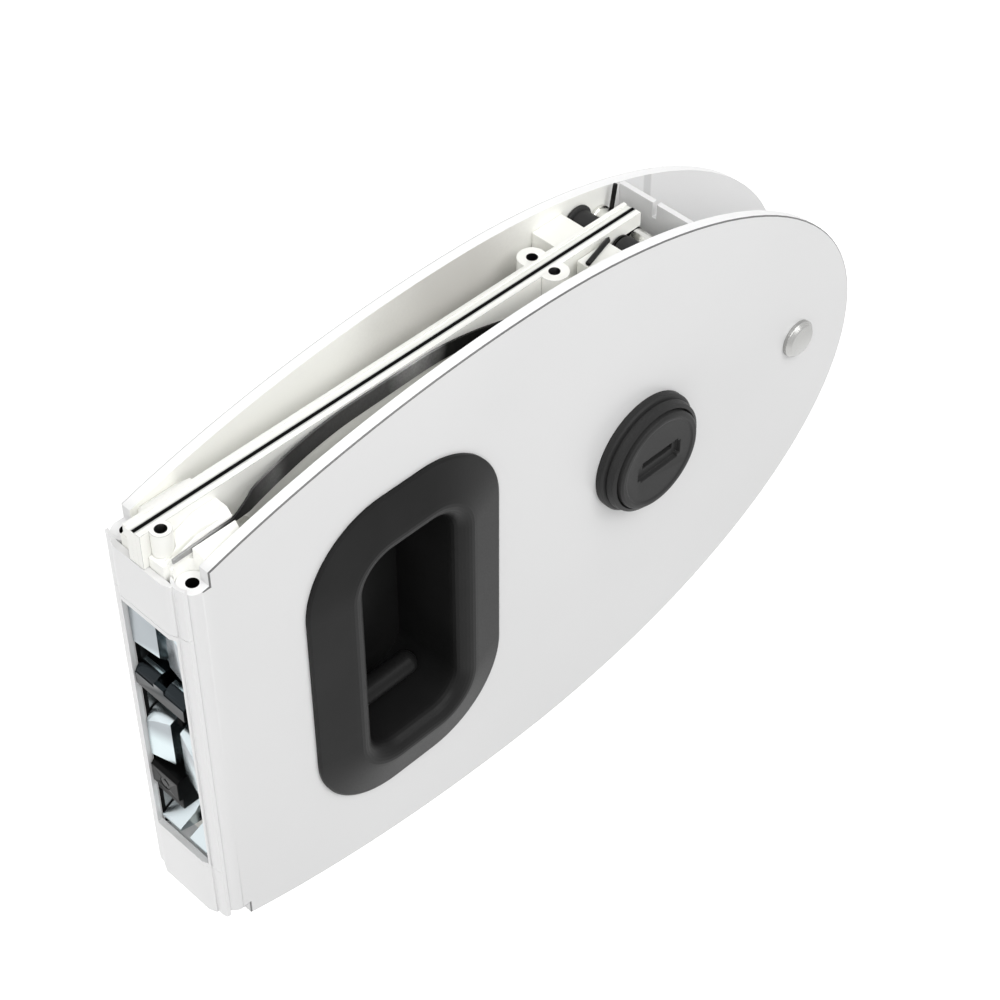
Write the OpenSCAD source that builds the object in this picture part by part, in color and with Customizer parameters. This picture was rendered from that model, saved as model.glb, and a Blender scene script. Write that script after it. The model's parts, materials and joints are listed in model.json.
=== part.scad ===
// Flush door latch: half-oval lock case with hook bolts, flush pull and key cylinder.
// X runs from the forend face to the curved tip, Y is the thickness with the
// pull on the -Y side, Z is up. The origin is the centre of the forend face.

/* [Body] */
// Thickness over both covers
body_t = 26.8; // [25.8:0.2:30]
// Length from the forend face to the curved tip
body_l = 208.6; // [204:0.5:222]
// Half height at the widest place
half_h = 67.4; // [67:0.2:72]
// Distance from the forend face to the widest place
wide_x = 94.4; // [92:0.2:98]
// Half length of the long ellipse that leads from the forend
lead_l = 154; // [146:1:170]
// Power of the rounder curve at the tip
tip_power = 2.06; // [2:0.02:2.3]
// Thickness of each cover plate
cover_t = 2.8; // [2:0.1:3]

/* [Forend] */
// Half height of the forend caps
forend_h = 53.2; // [52:0.1:54]
// Half height of the screw port columns
column_h = 51.7; // [50:0.1:52]
// Half width of the flat forend face
face_w = 7.4; // [7:0.1:7.6]
// Half width of the mouth
mouth_y = 8; // [7.8:0.1:8]
// Wall thickness of the forend caps and the mouth frame
forend_wall = 1.5; // [1.2:0.1:1.8]
// Top of the mouth
mouth_top = 37.5; // [36.5:0.5:38.5]
// Bottom of the mouth, below the centre line
mouth_bottom = 35.3; // [35:0.1:36.5]
// Radius of each screw port column
port_r = 3.3; // [3.1:0.1:3.4]
// Radius of each screw port bore
port_bore = 1.4; // [1.1:0.1:1.6]
// Distance from the forend face to the screw ports
port_x = 5.4; // [5.2:0.1:5.8]

/* [Web] */
// Thickness of each web wall
web_wall = 1.4; // [1:0.1:1.6]
// Thickness of the dark core between the web walls
core_t = 1.5; // [1.3:0.1:1.8]
// Length of the web
web_l = 141; // [138:0.5:144]
// Top of the web
web_top = 62.2; // [60:0.2:62.6]
// Bottom of the web, below the centre line
web_bottom = 51; // [49:0.5:52]
// Radius of the screw bosses on the web
boss_r = 3.35; // [3:0.05:3.6]

/* [Hooks] */
// Distance from the forend face to the upper hook pin
upper_px = 11.4; // [11.2:0.1:11.8]
// Height of the upper hook pin
upper_pz = 17; // [16.8:0.1:17.4]
// Swing radius of the upper hook
upper_reach = 20.3; // [19.6:0.1:20.5]
// Distance from the forend face to the lower hook pin
lower_px = 11.6; // [11.4:0.1:11.8]
// Depth of the lower hook pin below the centre line
lower_pz = 5; // [4.8:0.1:5.2]
// Swing radius of the lower hook
lower_reach = 31; // [30:0.1:31.4]
// Thickness of each jaw
jaw_t = 6.2; // [5:0.1:6.3]
// Gap between the front and rear jaws
jaw_gap = 3.2; // [3:0.1:3.4]
// Radius of the hook pins
hook_pin_r = 1.6; // [1.3:0.1:1.8]
// Travel of the drive plate
drive_travel = 7; // [6:0.5:7]
// Turn of the upper hook
upper_turn = 60; // [50:1:60]
// Turn of the lower hook
lower_turn = 45; // [40:1:45]
// Thickness of the drive plate
drive_t = 1.6; // [1.2:0.1:1.8]
// Thickness of each lock case plate
case_t = 1.2; // [1:0.1:1.4]
// Depth of the lock case behind the forend face
case_back = 39; // [38.6:0.1:39.2]

/* [Pull] */
// Distance from the forend face to the middle of the pull
cup_x = 57.2; // [56.8:0.1:58]
// Half width of the pull flange
cup_w = 27.75; // [27:0.25:28.5]
// Half height of the pull flange
cup_h = 45; // [44.5:0.1:46]
// Corner radius of the pull flange
cup_r = 22; // [21:0.5:22.5]
// Half width of the finger opening
mouth_w = 13.2; // [12:0.2:13.4]
// Wall thickness of the finger recess
cup_wall = 1.5; // [1.2:0.1:1.8]
// Depth of the finger recess floor behind the middle plane
cup_deep = 4.2; // [3:0.1:4.3]
// Height of the rounded crest over the cover face
crest_h = 3.6; // [3:0.1:4]
// Radius of the roll from the crest into the recess
roll_r = 3.9; // [3:0.1:5]
// Radius of the finger bar
bar_r = 2.9; // [2:0.1:3]
// Distance of the finger bar in front of the middle plane
bar_y = 5.2; // [5.2:0.1:5.4]
// Distance from the forend face to the lever pin
lever_px = 34.4; // [34:0.1:34.6]
// Depth of the lever pin below the centre line
lever_pz = 22.7; // [22:0.1:23.4]
// Length of the finger bar from its pin
bar_l = 31.8; // [28:0.2:34]
// Turn of the finger lever
lever_turn = 40; // [34:1:40]

/* [Cylinder] */
// Distance from the forend face to the key cylinder
cyl_x = 132.6; // [131:0.2:134]
// Height of the key cylinder and of the spacer pin over the centre line
key_z = 3.5; // [2:0.1:4]
// Radius of the base ring
ring_r = 15.6; // [15:0.1:16.5]
// Radius of the turning disc
disc_r = 13; // [12.5:0.1:13.2]
// Height of the disc face over the cover
disc_out = 5.9; // [5.4:0.1:6.4]
// Radius of the cylinder body behind the cover
body_r = 11; // [10:0.2:11.4]
// Length of the key slot
slot_l = 10; // [9:0.2:10.4]
// Width of the key slot
slot_w = 2.1; // [1.8:0.1:2.4]

/* [Tip fittings] */
// Distance from the spacer pin to the curved tip
pin_back = 20.1; // [18:0.1:22]
// Radius of the spacer pin head
pin_head_r = 5; // [5:0.1:6]
// Height of the spacer pin head
pin_head_h = 2; // [1.6:0.1:2.6]
// Radius of the spacer pin
pin_r = 3; // [2.5:0.1:3.4]
// Radius of the rollers
roller_r = 4; // [3.6:0.1:4.2]
// Radius of the cross shaft
shaft_r = 2.8; // [2.4:0.1:3]
// Thickness of the cross plate
plate_t = 1.4; // [1:0.1:1.6]

/* [Fits] */
// Running clearance round a pin
run_gap = 0.05; // [0.03:0.01:0.08]
// Gap between neighbouring pieces
seat_gap = 0.1; // [0.05:0.05:0.2]

/* [Hidden] */
$fn = 64;
cut = 0.5;
half_t = body_t / 2;
inner_y = half_t - cover_t;
port_y = half_t - port_r;
ear_r = port_r + 0.9;
ear_gap = 0.05;
column_x = 1.4;
cover_x = port_x + 1.7;
column_end = port_x + port_r + seat_gap;
shoulder_h = forend_h + 0.1;
web_y = core_t / 2;
web_out = web_y + web_wall;
jaw_in = jaw_gap / 2;
jaw_out = jaw_in + jaw_t;
case_y = 8.4;
case_x = column_end + 0.4;
case_h = 41;
drive_pin_r = 1.2;
lobe_r = 2.2;
slot_half = drive_pin_r + 0.25;
upper_lobe = drive_travel / (2 * sin(upper_turn / 2));
lower_lobe = drive_travel / (2 * sin(lower_turn / 2));
lever_lobe = drive_travel / (2 * sin(lever_turn / 2));
half_stroke = drive_travel / 2;
upper_lobe_z = upper_pz - upper_lobe * cos(upper_turn / 2);
lower_lobe_z = -lower_pz + lower_lobe * cos(lower_turn / 2);
lever_lobe_z = -lever_pz - lever_lobe * cos(lever_turn / 2);
rail_z = 44.5;
window_top = 43;
window_right = 96;
column_right = 112;
tip_boss_x = 113;
strip_t = 0.9;
roller_x = web_l - 7.5;
roller_z = web_top - 5.4;
shaft_x = web_l - 0.2;
shaft_z = web_top - 8.2;
web_step = web_l - 4.6;
block_x = web_l - 21.4;
block_l = 9.4;
block_top = web_top - 0.7;
plate_x = web_l + 7;
plate_top = web_top - 2.6;
pin_x = body_l - pin_back;
link_y = 6.1;
link_t = 1.2;
cam_turn = 90;
cam_arm = drive_travel / (2 * sin(cam_turn / 2));
cam_pin_z = cam_arm * cos(cam_turn / 2);
corner_x = cup_w - cup_r;
corner_z = cup_h - cup_r;
wall_r = mouth_w - corner_x;
neck_r = wall_r + 3.2;
post_r = 2;
posts = [[23, 7], [17.5, -39.2], [36, 36], [36, -8]];
standoffs = [[24, 48], [88, 50], [104, -48], [24, -48]];
filler_x = 18.8;
leaf_t = 0.6;
leaf_x = [19, 57, 95];
leaf_y = [-7.1, -2.5, -9.8];
leaf_z = web_top - 7.2;
leaf_h = 5.3;
filler_top = web_top - 2.2;

// Half height of the cover outline at one place, drawn in by an inset
function lead_height(x, inset) =
    (half_h - inset) * sqrt(1 - pow((wide_x - x) / lead_l, 2));
function tip_point(a, inset) =
    [wide_x + (body_l - wide_x - inset) * pow(cos(a), 2 / tip_power),
     (half_h - inset) * pow(sin(a), 2 / tip_power)];
function upper_edge(x0, inset) = concat(
    [for (i = [0:20]) let (x = x0 + inset + (wide_x - x0 - inset) * i / 20)
        [x, lead_height(x, inset)]],
    [for (a = [87:-3:3]) tip_point(a, inset)]);
function outline(x0, inset) = let (top = upper_edge(x0, inset))
    concat(top, [tip_point(0, inset)],
        [for (i = [len(top) - 1:-1:0]) [top[i].x, -top[i].y]]);

// Stands a drawing of the X-Z plane up between two depths
module upright(y0, y1) {
    translate([0, y1, 0]) rotate([90, 0, 0]) linear_extrude(y1 - y0) children();
}

// A round bar along Y
module cross_bar(x, z, r, y0, y1) {
    translate([x, y0, z]) rotate([-90, 0, 0]) cylinder(r = r, h = y1 - y0);
}

// Copies a piece to the front and the back
module both_sides() {
    children();
    mirror([0, 1, 0]) children();
}

// Outline of the pull at one distance from its corner centres
module cup_outline(r) {
    square([2 * (corner_x + r), 2 * corner_z], center = true);
    square([2 * corner_x, 2 * (corner_z + r)], center = true);
    for (x = [-1, 1], z = [-1, 1]) translate([x * corner_x, z * corner_z]) circle(r);
}

// Cover plate with its screw port column
module cover_body() {
    upright(-half_t, -inner_y) polygon(outline(cover_x, 0));
    translate([0, 0, -column_h]) linear_extrude(2 * column_h) {
        translate([port_x, -port_y]) circle(port_r);
        translate([port_x, -half_t]) square([cover_x - port_x + cut, cover_t]);
    }
}

// Screw port bores, and the flat on each column that clears the jaws
module port_bores() {
    translate([port_x, -port_y, -column_h - cut])
        cylinder(r = port_bore, h = 2 * (column_h + cut));
    translate([0, -mouth_y - 0.1, -frame_bottom])
        cube([column_end + cut, 4, frame_top + frame_bottom]);
}

module front_cover() color("gainsboro") difference() {
    cover_body();
    port_bores();
    upright(-half_t - cut, -inner_y + cut) {
        translate([cup_x, 0]) cup_outline(neck_r + seat_gap);
        translate([cyl_x, key_z]) circle(body_r + seat_gap);
        translate([pin_x, key_z]) circle(pin_r + seat_gap);
    }
}

module back_cover() color("gainsboro") mirror([0, 1, 0]) difference() {
    cover_body();
    port_bores();
    cross_bar(pin_x, key_z, pin_r + seat_gap, -half_t - cut, -inner_y + cut);
}

// Section of the forend: chamfered face and the ears round the columns
module ear_2d() {
    difference() {
        translate([port_x, -port_y]) circle(ear_r);
        translate([port_x, -port_y]) circle(port_r + ear_gap);
        translate([port_x - 2.6, -port_y - 10]) square([20, 20]);
        translate([port_x - 4.2, -port_y - 11.9]) square([10, 10]);
    }
}

module forend_strip(z0, z1) translate([0, 0, z0]) union() {
    linear_extrude(z1 - z0) polygon([[0, -face_w], [0, face_w], [0.8, face_w + 1.9],
        [forend_wall, face_w + 1.9], [forend_wall, -face_w - 1.9], [0.8, -face_w - 1.9]]);
    both_sides() linear_extrude(z1 - z0) ear_2d();
}

module forend_cap_body(z0, z1, sill) color("whitesmoke") {
    forend_strip(z0, z1);
    translate([0.5, -6.4, sill]) cube([port_x, 12.8, forend_wall]);
}

mouth_flare = 0.9;
frame_top = mouth_top + 1.3;
frame_bottom = mouth_bottom + 1.3;

module upper_forend_cap() {
    forend_cap_body(frame_top + seat_gap, forend_h, frame_top + seat_gap);
}

module lower_forend_cap() {
    forend_cap_body(-forend_h, -frame_bottom - seat_gap,
        -frame_bottom - seat_gap - forend_wall);
}

// Frame round the mouth
module mouth_frame() color("whitesmoke") difference() {
    forend_strip(-frame_bottom, frame_top);
    translate([-cut, -mouth_y - mouth_flare, -mouth_bottom])
        cube([port_x, 2 * mouth_y + mouth_flare, mouth_top + mouth_bottom]);
}

// Web: a top rail, a column behind the pull and a bottom rail
module web_2d() {
    difference() {
        polygon([[0.2, shoulder_h], [0.2, web_top], [web_l, web_top],
            [web_l, web_top - 3.6], [web_step, web_top - 3.6],
            [web_step, window_top + 2], [column_right, window_top + 2],
            [column_right, -web_bottom], [forend_wall + seat_gap, -web_bottom],
            [forend_wall + seat_gap, shoulder_h]]);
        translate([-cut, -rail_z]) square([window_right + cut, rail_z + window_top]);
        for (s = standoffs) translate([s.x, s.y]) circle(1.3);
        translate([roller_x, roller_z]) circle(1.6 + run_gap);
    }
}

module web_boss(x, y, r, h) {
    translate([x, y, web_top - h]) cylinder(r = r, h = h);
}

module web_wall_body() {
    upright(-web_out, -web_y) web_2d();
}

module web_front_wall() color("white") difference() {
    union() {
        web_wall_body();
        web_boss(tip_boss_x, -web_out - 0.6, boss_r, 9);
        web_boss(4.6, -web_out - 1, 2.3, 8);
    }
    translate([0, -web_y, 0]) cube([web_l + cut, 4, web_top + cut]);
    web_hole(tip_boss_x, -web_out - 0.6);
    web_hole(4.6, -web_out - 1);
}

module web_hole(x, y) {
    translate([x, y, web_top - 7]) cylinder(r = 1.3, h = 7 + cut);
}

module web_back_wall() color("white") difference() {
    union() {
        mirror([0, 1, 0]) web_wall_body();
        web_boss(tip_boss_x, web_out + 1.8, boss_r, 9);
        translate([0.2, web_out - cut, web_top - 2.8]) cube([web_l - 0.2, strip_t + cut, 2.8]);
    }
    translate([0.1, web_y - cut, web_top - 0.4]) cube([web_l, web_wall + cut, cut + 0.4]);
    translate([0, web_y - 4, 0]) cube([web_l + cut, 4, web_top + cut]);
    web_hole(tip_boss_x, web_out + 1.8);
}

module web_core() color("#101010") upright(-web_y, web_y) difference() {
    web_2d();
}

// Blocks that close the corner between the forend, the web and the covers. The
// top slopes from the web down to the cover edge.
module filler_2d() {
    polygon([[forend_wall + seat_gap, window_top], [forend_wall + seat_gap, shoulder_h + 2.6],
        [13, filler_top], [filler_x, filler_top], [filler_x, window_top]]);
}

module filler_cuts() {
    translate([port_x, -port_y, 0]) cylinder(r = port_r + ear_gap + seat_gap, h = 90);
    translate([0, -inner_y - cut, 0]) cube([port_x - 2.4, 4.6, 90]);
    translate([-cut, -inner_y, shoulder_h + 1.6]) rotate([45, 0, 0]) cube([30, 20, 20]);
}

module front_filler() color("ivory") difference() {
    upright(-inner_y + seat_gap, -web_out - seat_gap) filler_2d();
    filler_cuts();
    translate([4.6, -web_out - 1, 0]) cylinder(r = 2.3 + seat_gap, h = 90);
    translate([2.8, leaf_y[0] - leaf_t - 0.1, leaf_z - 0.1]) cube([30, leaf_t + 0.2, 30]);
    translate([0, 0, leaf_z + 1]) linear_extrude(20) polygon([[0, -5.2], [filler_x - 3, -6.4],
        [filler_x - 3, -6.6], [0, -6.6]]);
}

module back_filler() color("ivory") difference() {
    upright(web_out + strip_t + seat_gap, inner_y - seat_gap) filler_2d();
    mirror([0, 1, 0]) filler_cuts();
}

// Lock case: two plates joined by posts
module case_plate_body() upright(-case_y - case_t, -case_y) difference() {
    translate([case_x, -case_h]) square([case_back - case_x, 2 * case_h]);
    translate([upper_px, upper_pz]) circle(hook_pin_r + run_gap);
    translate([lower_px, -lower_pz]) circle(hook_pin_r + run_gap);
    translate([lever_px, -lever_pz]) circle(hook_pin_r + run_gap);
    for (p = posts) translate(p) circle(1.2);
    translate([20, -20]) circle(4.5);
    translate([24, 24]) circle(5.5);
}

module front_case_plate() color("silver") case_plate_body();

module back_case_plate() color("silver") mirror([0, 1, 0]) case_plate_body();

module case_posts() color("silver") for (p = posts) {
    cross_bar(p.x, p.y, post_r, -case_y, case_y);
    cross_bar(p.x, p.y, 1.15, -case_y - case_t, case_y + case_t);
}

module pivot_pin(x, z) color("lightsteelblue")
    cross_bar(x, z, hook_pin_r, -inner_y + 0.4, inner_y - 0.4);

module upper_hook_pin() pivot_pin(upper_px, upper_pz);

module lower_hook_pin() pivot_pin(lower_px, -lower_pz);

module lever_pin() pivot_pin(lever_px, -lever_pz);

// Upper hook: beak, throat and rounded nose about its pin
module upper_hook_2d() {
    nose_x = 0.5;
    difference() {
        union() {
            translate([upper_px, upper_pz]) circle(5.2);
            intersection() {
                translate([upper_px, upper_pz]) circle(upper_reach);
                polygon([[1.2, 40], [1.2, 24.2], [4.6, 20.3], [9, 20.3], [9, upper_pz],
                    [upper_px + 5, upper_pz], [upper_px + 5.6, 24], [upper_px + 5.6, 40]]);
            }
            translate([nose_x + 3, 14.4]) circle(2.9);
            translate([nose_x, 11.8]) square([upper_px - 4, 3.4]);
            translate([nose_x + 3, 11.8]) square([upper_px - 5, 5.4]);
            translate([upper_px - half_stroke, upper_lobe_z]) circle(lobe_r);
        }
        translate([6.6, 19.2]) circle(1.9);
        translate([2, 17.4]) square([4.6, 3]);
        translate([upper_px, upper_pz]) circle(hook_pin_r + run_gap);
        translate([upper_px - half_stroke, upper_lobe_z]) circle(drive_pin_r + run_gap / 2);
    }
}

module hub_tube(x, z, r) {
    difference() {
        cross_bar(x, z, r, -jaw_in, jaw_in);
        cross_bar(x, z, hook_pin_r + run_gap, -jaw_out - cut, jaw_out + cut);
    }
}

// Takes the front of both jaws back toward the gap between them
module jaw_bevel(z0, z1) {
    both_sides() translate([0, 0, z0]) linear_extrude(z1 - z0)
        polygon([[-4, 0.1], [3.45, 0.1], [1.2, jaw_out + cut], [-4, jaw_out + cut]]);
}

module upper_hook() color("lightsteelblue") {
    difference() {
        both_sides() upright(-jaw_out, -jaw_in) upper_hook_2d();
        jaw_bevel(19, 42);
    }
    hub_tube(upper_px, upper_pz, 3);
    translate([0.5, -jaw_in, 11.8]) cube([1.2, jaw_gap, 4.6]);
}

module upper_drive_pin() color("silver")
    cross_bar(upper_px - half_stroke, upper_lobe_z, drive_pin_r, -jaw_out, jaw_out);

// Lower hook: rounded body, arm and a beak with a hollow upper side
module lower_hook_2d() {
    arm_x = 9;
    body_x = 1.2;
    difference() {
        union() {
            translate([body_x + 4.6, -2.9]) circle(4.6);
            translate([body_x, -12.4]) square([lower_px - body_x, 9.5]);
            translate([body_x + 4.6, -12.4]) square([lower_px - body_x - 1, 14.1]);
            intersection() {
                translate([lower_px, -lower_pz]) circle(lower_reach);
                polygon([[1.6, -40], [1.6, -33.7], [6, -31.6], [arm_x, -28.6],
                    [arm_x, -lower_pz], [17.4, -lower_pz], [17.4, -40]]);
            }
            translate([lower_px - half_stroke, lower_lobe_z]) circle(lobe_r);
            translate([lower_px - half_stroke - lobe_r, 0])
                square([2 * lobe_r, lower_lobe_z]);
        }
        translate([4, -25.8]) circle(5.6);
        translate([lower_px, -lower_pz]) circle(hook_pin_r + run_gap);
        translate([lower_px - half_stroke, lower_lobe_z]) circle(drive_pin_r + run_gap / 2);
    }
}

module lower_hook() color("lightsteelblue") {
    difference() {
        both_sides() upright(-jaw_out, -jaw_in) lower_hook_2d();
        jaw_bevel(-13, 8);
    }
    hub_tube(lower_px, -lower_pz, 3);
}

module lower_drive_pin() color("silver")
    cross_bar(lower_px - half_stroke, lower_lobe_z, drive_pin_r, -jaw_out, jaw_out);

// Dark buffer on the rear jaw of the lower hook
buffer_x = 0.6;
buffer_top = -14;
buffer_low = -24;

module hook_buffer() color("#151515") difference() {
    upright(-1.2, jaw_out - 0.2) polygon([[buffer_x + 0.8, buffer_top],
        [buffer_x, buffer_top - 0.8], [buffer_x, buffer_low + 3.6],
        [buffer_x + 1, buffer_low + 3.2], [buffer_x + 1, buffer_low], [8.9, buffer_low],
        [8.9, buffer_top]]);
    translate([buffer_x, 3.2, -18]) rotate([0, 90, 0]) {
        translate([0, 0, -cut]) cylinder(r = 1.6, h = 1.3);
        cylinder(r = 1, h = 9);
    }
}

module buffer_screw() color("silver") translate([buffer_x, 3.2, -18]) rotate([0, 90, 0]) {
    difference() {
        translate([0, 0, 0.1]) cylinder(r = 1.5, h = 0.7);
        translate([-2, -0.2, -0.2]) cube([4, 0.4, 0.6]);
    }
    cylinder(r = 0.95, h = 8.4);
}

// Drive plate between the jaws, with its pin slots and guide slots
module long_slot(x0, x1, z, r) {
    translate([x0, z - r]) square([x1 - x0, 2 * r]);
    for (x = [x0, x1]) translate([x, z]) circle(r);
}

module pin_slot(x, z_low, z_high) {
    translate([x - slot_half, z_low]) square([2 * slot_half, z_high - z_low]);
    for (z = [z_low, z_high]) translate([x, z]) circle(slot_half);
}

module drive_plate() color("#2a2a2a") upright(-drive_t / 2, drive_t / 2) difference() {
    union() {
        translate([4.5, 1]) square([27.5, 12.2]);
        translate([14.9, -42.5]) square([7, 46]);
        translate([8, -42.5]) square([26.4, 6.6]);
        translate([27.4, -36]) square([7, lever_lobe_z + 3 + 36]);
    }
    pin_slot(upper_px - half_stroke, upper_pz - upper_lobe, upper_lobe_z);
    pin_slot(lower_px - half_stroke, lower_lobe_z, -lower_pz + lower_lobe);
    pin_slot(lever_px - half_stroke, -lever_pz - lever_lobe, lever_lobe_z);
    for (i = [0, 1])
        long_slot(posts[i].x - drive_travel, posts[i].x, posts[i].y, post_r + 0.15);
    for (z = [3.2, 10.8]) translate([rivet_x, z]) circle(1);
}

rivet_x = 28;

// Joggled bar that carries the drive behind the finger recess to the cylinder
link_end = cyl_x - half_stroke;

module link_bar() color("silver") difference() {
    translate([0, 0, 1.2]) linear_extrude(11.4)
        polygon([[26, drive_t / 2], [31, drive_t / 2], [35.4, link_y],
            [link_end + 5, link_y], [link_end + 5, link_y + link_t],
            [34.8, link_y + link_t], [30.4, drive_t / 2 + link_t],
            [26, drive_t / 2 + link_t]]);
    upright(link_y - cut, link_y + link_t + cut)
        pin_slot(link_end, key_z + cam_pin_z, key_z + cam_arm);
    for (z = [3.2, 10.8]) cross_bar(rivet_x, z, 1, 0, 3);
}

module link_rivets() color("silver") for (z = [3.2, 10.8]) {
    cross_bar(rivet_x, z, 0.97, -drive_t / 2, drive_t / 2 + link_t);
    cross_bar(rivet_x, z, 1.8, -drive_t / 2 - 0.7, -drive_t / 2);
    cross_bar(rivet_x, z, 1.8, drive_t / 2 + link_t, drive_t / 2 + link_t + 0.7);
}

// Finger lever: round bar with a domed end, hub and forked tail
module finger_lever() color("#2b2b2b") difference() {
    union() {
        translate([lever_px, -bar_y, -lever_pz]) rotate([0, 90, 0])
            cylinder(r = bar_r, h = bar_l - bar_r);
        translate([lever_px + bar_l - bar_r, -bar_y, -lever_pz]) sphere(bar_r);
        cross_bar(lever_px, -lever_pz, 4.6, -bar_y - bar_r + 0.2, -bar_y + bar_r);
        cross_bar(lever_px, -lever_pz, 3.4, -bar_y, case_y - 0.3);
        both_sides() upright(-bar_y + bar_r, -drive_t / 2 - 0.4) lever_tail_2d();
    }
    cross_bar(lever_px, -lever_pz, hook_pin_r + run_gap, -case_y, case_y);
    cross_bar(lever_px - half_stroke, lever_lobe_z, drive_pin_r + run_gap / 2, -5, 5);
}

module lever_tail_2d() {
    x = lever_px - half_stroke;
    translate([x, lever_lobe_z]) circle(lobe_r);
    polygon([[x - lobe_r, lever_lobe_z], [x + lobe_r, lever_lobe_z],
        [lever_px + 3, -lever_pz], [lever_px - 3.2, -lever_pz]]);
}

module lever_drive_pin() color("silver")
    cross_bar(lever_px - half_stroke, lever_lobe_z, drive_pin_r, bar_r - bar_y, bar_y - bar_r);

// Section of the pull: thin flange, crest and roll into the recess. The first
// number is the distance from a corner centre, the second the depth.
crest_y = -half_t - crest_h;
cup_section = concat([[cup_r, -half_t], [cup_r, -half_t - 0.7],
    [cup_r - 0.5, -half_t - 1], [wall_r + roll_r + 1.4, crest_y + 0.25]],
    [for (a = [-6:12:90]) [wall_r + roll_r * (1 - sin(a)), crest_y + roll_r * (1 - cos(a))]],
    [[wall_r, crest_y + roll_r], [wall_r, cup_deep + cup_wall],
     [wall_r + cup_wall, cup_deep + cup_wall], [wall_r + cup_wall, -inner_y + 3.4],
     [neck_r, -inner_y + 1.8], [neck_r, -half_t]]);

module cup_corner() {
    rotate([90, 0, 0]) rotate_extrude(angle = 90) mirror([0, 1]) polygon(cup_section);
}

module cup_side(half) {
    translate([0, 0, -half]) linear_extrude(2 * half) polygon(cup_section);
}

module handle_cup() color("#303030") translate([cup_x, 0, 0]) difference() {
    union() {
        for (x = [0, 1], z = [0, 1]) mirror([x, 0, 0]) mirror([0, 0, z])
            translate([corner_x, 0, corner_z]) cup_corner();
        for (x = [0, 1]) mirror([x, 0, 0]) translate([corner_x, 0, 0]) cup_side(corner_z);
        for (z = [0, 1]) mirror([0, 0, z]) translate([0, 0, corner_z])
            rotate([0, -90, 0]) cup_side(corner_x);
        upright(cup_deep, cup_deep + cup_wall) cup_outline(wall_r + cup_wall / 2);
    }
    translate([-mouth_w - 3, -bar_y - bar_r - 0.5, -lever_pz - bar_r - 0.6])
        cube([6, 2 * bar_r + 1, 2 * bar_r + 11]);
}

module cup_retainer() color("silver") upright(-inner_y, -inner_y + 1.4)
    translate([cup_x, 0]) difference() {
        cup_outline(neck_r + 1.7);
        cup_outline(neck_r + seat_gap);
    }

// Standoffs that carry the covers on the web
module cover_standoffs() color("silver") for (s = standoffs) {
    both_sides() cross_bar(s.x, s.y, 2.5, web_out, inner_y);
    cross_bar(s.x, s.y, 1.2, -web_out, web_out);
}

// Bowed leaf spring: held in the filler, its middle near the web
function bow_y(x) = let (k = x < leaf_x[1] ? 0 : 2)
    leaf_y[1] + (leaf_y[k] - leaf_y[1]) * pow((x - leaf_x[1]) / (leaf_x[k] - leaf_x[1]), 2);

module front_leaf_spring() color("#262626") {
    steps = 24;
    xs = concat([3.4], [for (i = [0:steps]) leaf_x[0] + (leaf_x[2] - leaf_x[0]) * i / steps]);
    ys = concat([leaf_y[0]], [for (i = [1:steps + 1]) bow_y(xs[i])]);
    intersection() {
        translate([0, 0, leaf_z]) linear_extrude(leaf_h) polygon(concat(
            [for (i = [0:steps + 1]) [xs[i], ys[i]]],
            [for (i = [steps + 1:-1:0]) [xs[i], ys[i] - leaf_t]]));
        upright(-inner_y, 0) polygon([[3, leaf_z - cut], [3, leaf_z + 2.4], [12, leaf_z + 2.9],
            [19, leaf_z + 3.1], [23, leaf_z + leaf_h + cut], [leaf_x[2], leaf_z + leaf_h + cut],
            [leaf_x[2], leaf_z - cut]]);
    }
}

// Key cylinder: fixed ring and body, nut, turning disc with its barrel, cam
module key_axis() {
    translate([cyl_x, 0, key_z]) children();
}

module cylinder_ring() color("#303030") key_axis() rotate([90, 0, 0])
    rotate_extrude() polygon([[disc_r + 0.15, half_t + 1.6],
        [disc_r + 0.15, half_t + disc_out - 1.6], [disc_r + 0.5, half_t + disc_out - 1.2],
        [disc_r + 1.4, half_t + disc_out - 1.6], [ring_r - 0.9, half_t + 3.1],
        [ring_r - 0.9, half_t + 2.6], [ring_r - 1.3, half_t + 2.45],
        [ring_r - 1.3, half_t + 2.2], [ring_r - 0.4, half_t + 2], [ring_r, half_t + 1.6],
        [ring_r, half_t], [body_r, half_t], [body_r, -3], [9, -3], [9, half_t + 1.6]]);

module cylinder_nut() color("silver") key_axis() difference() {
    cross_bar(0, 0, 15, -inner_y, -inner_y + 2.6);
    cross_bar(0, 0, body_r + run_gap, -inner_y - cut, -inner_y + 3);
    for (a = [0:60:300]) rotate([0, a, 0])
        translate([14, -inner_y - cut, -1.5]) cube([2, 4, 3]);
}

module cylinder_plug() color("#303030") key_axis() difference() {
    rotate([90, 0, 0]) rotate_extrude()
        polygon([[0, half_t + disc_out - 0.3], [disc_r - 2, half_t + disc_out - 0.3],
            [disc_r - 1.6, half_t + disc_out], [disc_r - 0.5, half_t + disc_out],
            [disc_r, half_t + disc_out - 0.4], [disc_r, half_t + 1.8],
            [9 - run_gap, half_t + 1.8], [9 - run_gap, -3.2], [3, -3.2], [3, -4.6], [0, -4.6]]);
    upright(-half_t - disc_out - cut, -half_t - disc_out + 1.5)
        key_recess_2d();
    upright(-half_t - disc_out - cut, -half_t + 6)
        translate([0.6, 0.5]) square([slot_l, slot_w], center = true);
    cross_bar(0, 0, 1, -1, 5);
}

module key_recess_2d() {
    square([14.5, 4.2], center = true);
    square([12.6, 5.8], center = true);
}

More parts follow.
